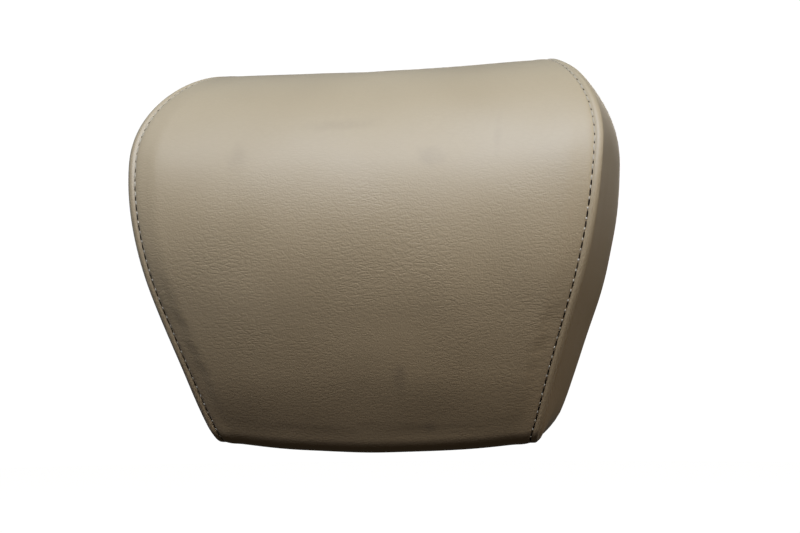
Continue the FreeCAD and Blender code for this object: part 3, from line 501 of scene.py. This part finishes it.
grain, grain_in, grain_out = node_group(
    "leather_grain",
    [("Place", "NodeSocketVector", (0, 0, 0)), ("Pebble Scale", "NodeSocketFloat", 1050.0),
     ("Crease Scale", "NodeSocketFloat", 500.0), ("Crease Depth", "NodeSocketFloat", 0.6)],
    [("Height", "NodeSocketFloat"), ("Crease", "NodeSocketFloat")])
grain_place = grain_in.outputs["Place"]
warp = node(grain, "ShaderNodeTexNoise", {"Vector": grain_place, "Scale": 90.0, "Detail": 3.0})
warp_shift = node(grain, "ShaderNodeVectorMath", {0: warp.outputs["Color"], 1: (0.5, 0.5, 0.5)},
                  operation="SUBTRACT")
warp_scale = node(grain, "ShaderNodeVectorMath", {0: warp_shift.outputs[0], "Scale": 0.0032},
                  operation="SCALE")
warped = node(grain, "ShaderNodeVectorMath", {0: grain_place, 1: warp_scale.outputs[0]},
              operation="ADD")
pebbles = node(grain, "ShaderNodeTexVoronoi",
               {"Vector": warped.outputs[0], "Scale": grain_in.outputs["Pebble Scale"]})
drawn = node(grain, "ShaderNodeVectorMath", {0: warped.outputs[0], 1: (0.34, 1.0, 1.0)},
             operation="MULTIPLY")
creases = node(grain, "ShaderNodeTexVoronoi",
               {"Vector": drawn.outputs[0], "Scale": grain_in.outputs["Crease Scale"]},
               feature="DISTANCE_TO_EDGE")
crease_line = graded(grain, creases.outputs["Distance"], 0.0, 0.22, 1.0, 0.0)
crease_spread = node(grain, "ShaderNodeTexNoise", {"Vector": grain_place, "Scale": 28.0, "Detail": 2.0})
crease_where = graded(grain, crease_spread.outputs[0], 0.05, 0.75)
crease_mask = worked(grain, "MULTIPLY", crease_line, crease_where)
crease_deep = worked(grain, "MULTIPLY", crease_mask, grain_in.outputs["Crease Depth"])
pebble_height = worked(grain, "MULTIPLY", pebbles.outputs["Distance"], -0.36)
grain_height = worked(grain, "SUBTRACT", pebble_height, crease_deep)
grain.links.new(grain_height, grain_out.inputs["Height"])
grain.links.new(crease_mask, grain_out.inputs["Crease"])

rub, rub_in, rub_out = node_group(
    "rub_mark",
    [("Place", "NodeSocketVector", (0, 0, 0)), ("Middle", "NodeSocketVector", (0, 0, 0)),
     ("Stretch", "NodeSocketVector", (1, 1, 1)), ("Size", "NodeSocketFloat", 0.01),
     ("Strength", "NodeSocketFloat", 0.1)],
    [("Mask", "NodeSocketFloat")])
rub_place = rub_in.outputs["Place"]
rub_offset = node(rub, "ShaderNodeVectorMath", {0: rub_place, 1: rub_in.outputs["Middle"]},
                  operation="SUBTRACT")
rub_stretch = node(rub, "ShaderNodeVectorMath", {0: rub_offset.outputs[0], 1: rub_in.outputs["Stretch"]},
                   operation="MULTIPLY")
rub_length = node(rub, "ShaderNodeVectorMath", {0: rub_stretch.outputs[0]}, operation="LENGTH")
rub_share = worked(rub, "DIVIDE", rub_length.outputs["Value"], rub_in.outputs["Size"])
rub_break = node(rub, "ShaderNodeTexNoise", {"Vector": rub_place, "Scale": 170.0, "Detail": 4.0})
rub_ragged = worked(rub, "MULTIPLY_ADD", rub_break.outputs[0], 0.9, rub_share)
rub_fade = graded(rub, rub_ragged, 0.45, 1.35, 1.0, 0.0, interpolation_type="SMOOTHSTEP")
rub_mask = worked(rub, "MULTIPLY", rub_fade, rub_in.outputs["Strength"])
rub.links.new(rub_mask, rub_out.inputs["Mask"])

# the faint rubs high on the face and the two darker spots low on it: middle, stretch, size, strength
RUB_MARKS = (((-0.066, -0.153, 0.051), (1, 0.1, 0.8), 0.010, 0.10),
             ((-0.010, -0.145, 0.068), (0.35, 0.1, 2.2), 0.012, 0.09),
             ((0.042, -0.152, 0.047), (0.8, 0.1, 1.2), 0.011, 0.11),
             ((0.077, -0.150, 0.057), (2.5, 0.1, 0.5), 0.009, 0.06),
             ((0.021, -0.136, -0.070), (1.6, 0.1, 0.7), 0.010, 0.24),
             ((0.034, -0.130, -0.097), (1, 0.1, 1.6), 0.007, 0.26))


def leatherette(name, crease_depth, haze, marks):
    """Beige leatherette with its grain and its rubs, with a painted sheen that greys the crown and painted
    shade that browns it low down.
    """
    material, tree, shader = finish_material(name, 0.46, level=0.75)
    shader.inputs["Coat Weight"].default_value = 0.06
    shader.inputs["Coat Roughness"].default_value = 0.55
    shader.inputs["Sheen Weight"].default_value = haze
    shader.inputs["Sheen Roughness"].default_value = 0.45
    shader.inputs["Sheen Tint"].default_value = (0.86, 0.95, 1.0, 1)
    place = node(tree, "ShaderNodeTexCoord").outputs["Object"]
    rise = node(tree, "ShaderNodeSeparateXYZ", {"Vector": place}).outputs["Z"]
    fine = node(tree, "ShaderNodeGroup", {"Place": place, "Crease Depth": crease_depth}, node_tree=grain)
    cloud = node(tree, "ShaderNodeTexNoise", {"Vector": place, "Scale": 16.0, "Detail": 4.0}).outputs[0]
    tone = mixed(tree, cloud, (0.40, 0.300, 0.172, 1), (0.45, 0.342, 0.199, 1))
    # painted light: the colour turns cooler and greyer up the crown as a painted sheen, and warmer and
    # browner low down as painted shade
    painted_sheen_and_shade = mixed(tree, graded(tree, rise, -0.09, 0.1), (1.0, 0.89, 0.79, 1), (1.0, 1.06, 1.17, 1))
    sheen_and_shade_tinted = mixed(tree, 1.0, tone, painted_sheen_and_shade, blend_type="MULTIPLY")
    # painted shade: the colour darkens along the grain's creases
    painted_crease_shade = worked(tree, "MULTIPLY", fine.outputs["Crease"], 0.10)
    colour = mixed(tree, painted_crease_shade, sheen_and_shade_tinted, (0.30, 0.215, 0.13, 1))
    for middle, stretch, size, strength in marks:
        mark = node(tree, "ShaderNodeGroup",
                    {"Place": place, "Middle": middle, "Stretch": stretch, "Size": size,
                     "Strength": strength}, node_tree=rub)
        colour = mixed(tree, mark.outputs["Mask"], colour, (0.09, 0.06, 0.045, 1))
    tree.links.new(colour, shader.inputs["Base Color"])
    tree.links.new(graded(tree, cloud, 0.3, 0.7, 0.49, 0.57), shader.inputs["Roughness"])
    slack = graded(tree, rise, -0.01, 0.06, 1.0, 0.2)
    taut = graded(tree, rise, -0.09, 0.0, 0.5, 1.0)
    ease = worked(tree, "MULTIPLY", slack, taut)
    relief = worked(tree, "MULTIPLY", fine.outputs["Height"], ease)
    bump = node(tree, "ShaderNodeBump", {"Strength": 0.47, "Distance": 0.0005, "Height": relief})
    tree.links.new(bump.outputs["Normal"], shader.inputs["Normal"])
    return material


front_panel.data.materials.append(leatherette("leatherette_face", 0.42, 0.42, RUB_MARKS))
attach(front_panel, "cushion")
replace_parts(front_panel, "front_panel", "foam_core", "comfort_layer")

# ---------------------------------------------------------------- side panels
# A D-shaped gusset of the same leatherette on each side, sewn to the front panel all round and
# turned in over the back edge. It swells a little between its seams, and its lower corner is round.

side_leather = leatherette("leatherette_side", 0.3, 0.1, ())
SIDE_MIDDLE = (-0.095, 0.004)
RING_STEPS = [0, 0.0004, 0.0009, 0.0015, 0.0023, 0.0034, 0.005, 0.0075, 0.011, 0.016]
INNER_RINGS = 16
RINGS = len(RING_STEPS) + INNER_RINGS
BACK_ROWS = 90
GUSSET_ROLL = 0.0012
GUSSET_ROLL_WIDTH = 0.003
GUSSET_PUFF = 0.0009
GUSSET_PUFF_WIDTH = 0.03
RIPPLES_PER_METRE = 30
RIPPLE_HEIGHT = 0.0004
MERGE_DISTANCE = 0.00002


def rim_place(index):
    """A point of the gusset's rim, y and z: down the seam, then up the back edge."""
    if index < ROWS:
        place = on_face(index, seam[index])
        return place.y, place.z
    low = on_face(ROWS - 1, seam[-1])
    high = on_face(0, seam[0])
    share = (index - ROWS + 1) / (BACK_ROWS + 1)
    return REAR, low.z + (high.z - low.z) * share


RIM = ROWS + BACK_ROWS
rim_places = [rim_place(k % RIM) for k in range(RIM + 1)]


def gusset_place(index, ring):
    """y, z and the distance from the rim of one point of the gusset, on its way to the middle."""
    y, z = rim_places[index]
    reach = math.hypot(y - SIDE_MIDDLE[0], z - SIDE_MIDDLE[1])
    if ring < len(RING_STEPS):
        inset = RING_STEPS[ring]
    else:
        share = (ring - len(RING_STEPS) + 1) / INNER_RINGS
        inset = RING_STEPS[-1] + (reach - RING_STEPS[-1]) * share
    keep = 1 - inset / reach
    return (SIDE_MIDDLE[0] + (y - SIDE_MIDDLE[0]) * keep,
            SIDE_MIDDLE[1] + (z - SIDE_MIDDLE[1]) * keep, inset)


def gusset(name, side):
    form = bmesh.new()
    bmesh.ops.create_grid(form, x_segments=RIM, y_segments=RINGS - 1, size=1)
    for vertex in form.verts:
        index = round((vertex.co.x + 1) / 2 * RIM)
        ring = round((vertex.co.y + 1) / 2 * (RINGS - 1))
        y, z, inset = gusset_place(index, ring)
        sewn = 1 if index % RIM < ROWS else 0
        roll = GUSSET_ROLL * sewn * max(0, 1 - inset / GUSSET_ROLL_WIDTH) ** 2
        puff = GUSSET_PUFF * min(1, inset / GUSSET_PUFF_WIDTH)
        spot = Vector((side, y * RIPPLES_PER_METRE, z * RIPPLES_PER_METRE))
        ripple = noise.noise(spot) * RIPPLE_HEIGHT
        vertex.co = Vector((side * (half_width(y, z) - roll + (puff + ripple)), y, z))
    bmesh.ops.remove_doubles(form, verts=form.verts, dist=MERGE_DISTANCE)
    face_towards(form, Vector((side, 0, 0)))
    piece = smooth_piece(name, form)
    piece.data.materials.append(side_leather)
    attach(piece, "cushion")
    return piece


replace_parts(gusset("side_panel_right_leather", 1), "side_panel_right")
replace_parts(gusset("side_panel_left_leather", -1), "side_panel_left")

# ---------------------------------------------------------------- leather turned in at the back
# The raw edges of the leatherette are folded over the board's back and stapled there. The fold is
# pleated round the two upper corners, and the moulded cap hides its inner edge.

TURN_IN = 0.034
TURN_ROWS = 14
TURN_SINK = 0.0004
PLEAT_ANGLE = 0.72
PLEAT_SPREAD = 0.16
PLEAT_RATE = 62
PLEAT_DEPTH = 0.0005
PLEAT_START = 0.05
PLEAT_PACE = 1.6


def panel_end(row):
    """The front panel's end along its first or last row, x and z."""
    reaches = [column_place(row, column)[0] for column in range(COLUMNS)]
    return [(x, on_face(row, x).z) for x in reaches]


# the outer edge of the turned-in leather, once round, x and z
right_edge = [(half_width(REAR, z), z) for _, z in reversed(rim_places[ROWS:RIM])]
left_edge = [(-x, z) for x, z in reversed(right_edge)]
rim = panel_end(0) + right_edge + panel_end(ROWS - 1)[::-1] + left_edge

turned = bmesh.new()
bmesh.ops.create_grid(turned, x_segments=len(rim), y_segments=TURN_ROWS, size=1)
for vertex in turned.verts:
    index = round((vertex.co.x + 1) / 2 * len(rim)) % len(rim)
    inward = round((vertex.co.y + 1) / 2 * TURN_ROWS) / TURN_ROWS
    x, z = rim[index]
    reach = math.hypot(x, z)
    keep = 1 - TURN_IN * inward / reach
    angle = math.atan2(z, abs(x))
    pleat = math.sin(angle * PLEAT_RATE) * hump(angle, PLEAT_ANGLE, PLEAT_SPREAD, PLEAT_DEPTH)
    depth = pleat * math.sin(math.pi * min(1, inward * PLEAT_PACE + PLEAT_START))
    vertex.co = Vector((x * keep, REAR + depth - TURN_SINK * inward, z * keep))
bmesh.ops.remove_doubles(turned, verts=turned.verts, dist=MERGE_DISTANCE)
face_towards(turned, Vector((0, 1, 0)))
turned_in = smooth_piece("turned_in_leather", turned)
turned_in.data.materials.append(side_leather)
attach(turned_in, "cushion")

# ---------------------------------------------------------------- topstitching
# Bonded polyester thread, light grey-beige, sewn through the front panel just inside each seam. The
# stitches sink into the furrow, and between them near-black beads are painted shade in the needle's slits
# and the groove, longer low down.

STITCH_PITCH = 0.0055
STITCH_FIRST_ROW = 12
STITCH_LAST_ROW = ROWS - 20
ACROSS_STEP = 0.001
LOW_START = 0.058
LOW_BLEND = 0.04
THREAD_SINK = 0.00030
THREAD_FLATNESS = 0.9
SLIT_SHADE_SINK = 0.00048
SLIT_SHADE_FLATNESS = 0.62
BLUNTNESS = 0.4
POLE_REACH = 0.05

# each pair is the size on the crown and the size low down, where the thread lies deeper
THREAD_LENGTHS = (0.0040, 0.0015)
THREAD_RADII = (0.00040, 0.00048)
SLIT_SHADE_LENGTHS = (0.0014, 0.0044)
SLIT_SHADE_RADII = (0.00050, 0.00074)

thread, thread_tree, thread_shader = finish_material("bonded_thread", 0.6, level=0.35)
thread_place = node(thread_tree, "ShaderNodeTexCoord").outputs["Object"]
thread_rise = node(thread_tree, "ShaderNodeSeparateXYZ", {"Vector": thread_place}).outputs["Z"]
thread_tone = node(thread_tree, "ShaderNodeTexNoise",
                   {"Vector": thread_place, "Scale": 900.0, "Detail": 2.0})
thread_mix = mixed(thread_tree, thread_tone.outputs[0], (0.52, 0.46, 0.36, 1), (0.76, 0.70, 0.60, 1))
thread_high = graded(thread_tree, thread_rise, 0.01, 0.06, 0.0, 0.8)
thread_drawn = mixed(thread_tree, thread_high, thread_mix, (0.41, 0.355, 0.265, 1))
thread_twist = node(thread_tree, "ShaderNodeTexWave", {"Vector": thread_place, "Scale": 1100.0},
                    bands_direction="DIAGONAL")
thread_bump = node(thread_tree, "ShaderNodeBump",
                   {"Strength": 0.5, "Distance": 0.0001, "Height": thread_twist.outputs["Fac"]})
thread_tree.links.new(thread_drawn, thread_shader.inputs["Base Color"])
thread_tree.links.new(thread_bump.outputs["Normal"], thread_shader.inputs["Normal"])

# painted shade: the near-black beads stand for the shade in the needle's slits and the groove
slit_shade, slit_shade_tree, slit_shade_shader = finish_material("needle_slit_shade", 0.8, level=0.1)
slit_shade_place = node(slit_shade_tree, "ShaderNodeTexCoord").outputs["Object"]
slit_shade_tone = node(slit_shade_tree, "ShaderNodeTexNoise", {"Vector": slit_shade_place, "Scale": 500.0})
slit_shade_mix = mixed(slit_shade_tree, slit_shade_tone.outputs[0], (0.012, 0.008, 0.006, 1), (0.035, 0.025, 0.017, 1))
slit_shade_tree.links.new(slit_shade_mix, slit_shade_shader.inputs["Base Color"])


def stitch_places(side):
    """Even places along the stitch line, with the way along it and the way out of the leather."""
    line = []
    for row in range(STITCH_FIRST_ROW, STITCH_LAST_ROW):
        place = on_face(row, side * stitch_reach[row])
        across = (on_face(row, side * (stitch_reach[row] - ACROSS_STEP)) - place) * side
        along = on_face(row + 1, side * stitch_reach[row + 1]) - place
        out = across.cross(along).normalized()
        if out.dot(place - Vector((0, SIDE_MIDDLE[0], SIDE_MIDDLE[1]))) < 0:
            out = -out
        line.append((place + out * swell_at(place, STITCH_INSET, out), along.normalized(), out))
    found = []
    travelled = 0
    due = 0
    for here, after in zip(line, line[1:]):
        if travelled >= due:
            found.append(here)
            due += STITCH_PITCH / 2
        travelled += (after[0] - here[0]).length
    return found


def beads(name, places, lengths, radii, flatness, sink, material):
    """Small blunt-ended grains along a stitch line, sunk below the level of the leather beside it."""
    form = bmesh.new()
    for place, along, out in places:
        low = max(0, min(1, (LOW_START - place.z) / LOW_BLEND))
        length = lengths[0] + (lengths[1] - lengths[0]) * low
        radius = radii[0] + (radii[1] - radii[0]) * low
        made = bmesh.ops.create_uvsphere(form, u_segments=8, v_segments=7, radius=1)["verts"]
        across = along.cross(out).normalized()
        for vertex in made:
            x, y, z = vertex.co
            blunt = max(POLE_REACH, math.hypot(x, y)) ** -BLUNTNESS
            vertex.co = (place - out * sink + along * (z * length / 2)
                         + across * (x * blunt * radius) + out * (y * blunt * radius * flatness))
    bmesh.ops.recalc_face_normals(form, faces=form.faces)
    piece = smooth_piece(name, form)
    piece.data.materials.append(material)
    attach(piece, "cushion")
    return piece


for side, side_name in ((1, "right"), (-1, "left")):
    places = stitch_places(side)
    stitches = beads("stitches_" + side_name, places[0::2], THREAD_LENGTHS, THREAD_RADII,
                     THREAD_FLATNESS, THREAD_SINK, thread)
    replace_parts(stitches, "topstitch_" + side_name)
    # the slit beads between the stitches are painted shade
    beads("slit_shades_" + side_name, places[1::2], SLIT_SHADE_LENGTHS, SLIT_SHADE_RADII, SLIT_SHADE_FLATNESS, SLIT_SHADE_SINK, slit_shade)

# ---------------------------------------------------------------- moulded cap and its screws
# A thin cap of dark textured plastic covers the staples. Four black oxide screws hold it through
# bosses to the board, and its opening lets the tilt bracket through.

wear, wear_in, wear_out = node_group(
    "fine_wear",
    [("Place", "NodeSocketVector", (0, 0, 0)), ("Fine Scale", "NodeSocketFloat", 900.0),
     ("Broad Scale", "NodeSocketFloat", 30.0)],
    [("Fine", "NodeSocketFloat"), ("Broad", "NodeSocketFloat")])
wear_place = wear_in.outputs["Place"]
wear_fine = node(wear, "ShaderNodeTexNoise",
                 {"Vector": wear_place, "Scale": wear_in.outputs["Fine Scale"], "Detail": 3.0})
wear_broad = node(wear, "ShaderNodeTexNoise",
                  {"Vector": wear_place, "Scale": wear_in.outputs["Broad Scale"], "Detail": 5.0})
wear.links.new(wear_fine.outputs[0], wear_out.inputs["Fine"])
wear.links.new(wear_broad.outputs[0], wear_out.inputs["Broad"])


def worn_finish(name, dark, light, smooth, rough, metallic, bump_size, fine_scale):
    """Two close tones, a roughness that drifts between two values, and a fine surface bump."""
    material, tree, shader = finish_material(name, smooth, metallic)
    place = node(tree, "ShaderNodeTexCoord").outputs["Object"]
    marks = node(tree, "ShaderNodeGroup", {"Place": place, "Fine Scale": fine_scale}, node_tree=wear)
    tone = mixed(tree, marks.outputs["Broad"], (*dark, 1), (*light, 1))
    tree.links.new(tone, shader.inputs["Base Color"])
    drift = graded(tree, marks.outputs["Broad"], 0.3, 0.7, smooth, rough)
    tree.links.new(drift, shader.inputs["Roughness"])
    bump = node(tree, "ShaderNodeBump",
                {"Strength": 0.5, "Distance": bump_size, "Height": marks.outputs["Fine"]})
    tree.links.new(bump.outputs["Normal"], shader.inputs["Normal"])
    return material


def dress(material, *names):
    """Gives CAD nodes a new material, in every one of their slots."""
    for name in names:
        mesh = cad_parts[name].data
        if not mesh.materials:
            mesh.materials.append(material)
        for index in range(len(mesh.materials)):
            mesh.materials[index] = material


dress(worn_finish("cap_plastic_textured", (0.016, 0.014, 0.013), (0.028, 0.025, 0.022),
                  0.48, 0.62, 0, 0.00025, 1100.0), "rear_cap")
dress(worn_finish("black_oxide", (0.02, 0.02, 0.02), (0.05, 0.048, 0.045), 0.38, 0.5, 0.7, 0.00004, 1600.0),
      "rear_cap_screws")

# ---------------------------------------------------------------- backing board and its fasteners
# Birch plywood carries the foam. The T-nuts are driven into its front for the bracket's screws, and
# the staples hold the leatherette to its back.

plywood, plywood_tree, plywood_shader = finish_material("birch_plywood", 0.6, level=0.3)
plywood_place = node(plywood_tree, "ShaderNodeTexCoord").outputs["Object"]
plywood_map = node(plywood_tree, "ShaderNodeMapping", {"Vector": plywood_place, "Scale": (0.12, 1, 1)})
plywood_fibre = node(plywood_tree, "ShaderNodeTexNoise",
                     {"Vector": plywood_map.outputs[0], "Scale": 260.0, "Detail": 6.0})
plywood_mix = mixed(plywood_tree, plywood_fibre.outputs[0], (0.42, 0.28, 0.15, 1), (0.70, 0.52, 0.33, 1))
plywood_bump = node(plywood_tree, "ShaderNodeBump",
                    {"Strength": 0.4, "Distance": 0.0003, "Height": plywood_fibre.outputs[0]})
plywood_tree.links.new(plywood_mix, plywood_shader.inputs["Base Color"])
plywood_tree.links.new(plywood_bump.outputs["Normal"], plywood_shader.inputs["Normal"])
dress(plywood, "backing_board")
zinc = worn_finish("zinc_plate", (0.50, 0.51, 0.52), (0.68, 0.68, 0.66), 0.26, 0.42, 1, 0.00003, 1300.0)
dress(zinc, "t_nuts", "cover_staples")

# ---------------------------------------------------------------- tilt bracket and chair bracket
# Two folded steel brackets in black powder coat turn on one bolt. Disc springs and acetal washers
# clamp them, so the cushion stays at the angle it is set to, and a clipped pin limits the tilt.

dress(worn_finish("powder_coat", (0.012, 0.012, 0.013), (0.026, 0.026, 0.027),
                  0.36, 0.48, 0, 0.00012, 700.0), "tilt_bracket", "chair_bracket")
dress(zinc, "hinge_bolt", "hinge_nut", "bracket_screws", "bracket_washers", "spacer_tube", "stop_pin")
dress(worn_finish("oiled_spring_steel", (0.20, 0.19, 0.18), (0.33, 0.32, 0.30),
                  0.3, 0.45, 1, 0.00003, 1500.0), "disc_springs", "pin_clip")
dress(worn_finish("natural_acetal", (0.72, 0.70, 0.64), (0.82, 0.80, 0.75), 0.4, 0.5, 0, 0.00003, 900.0),
      "friction_washers")
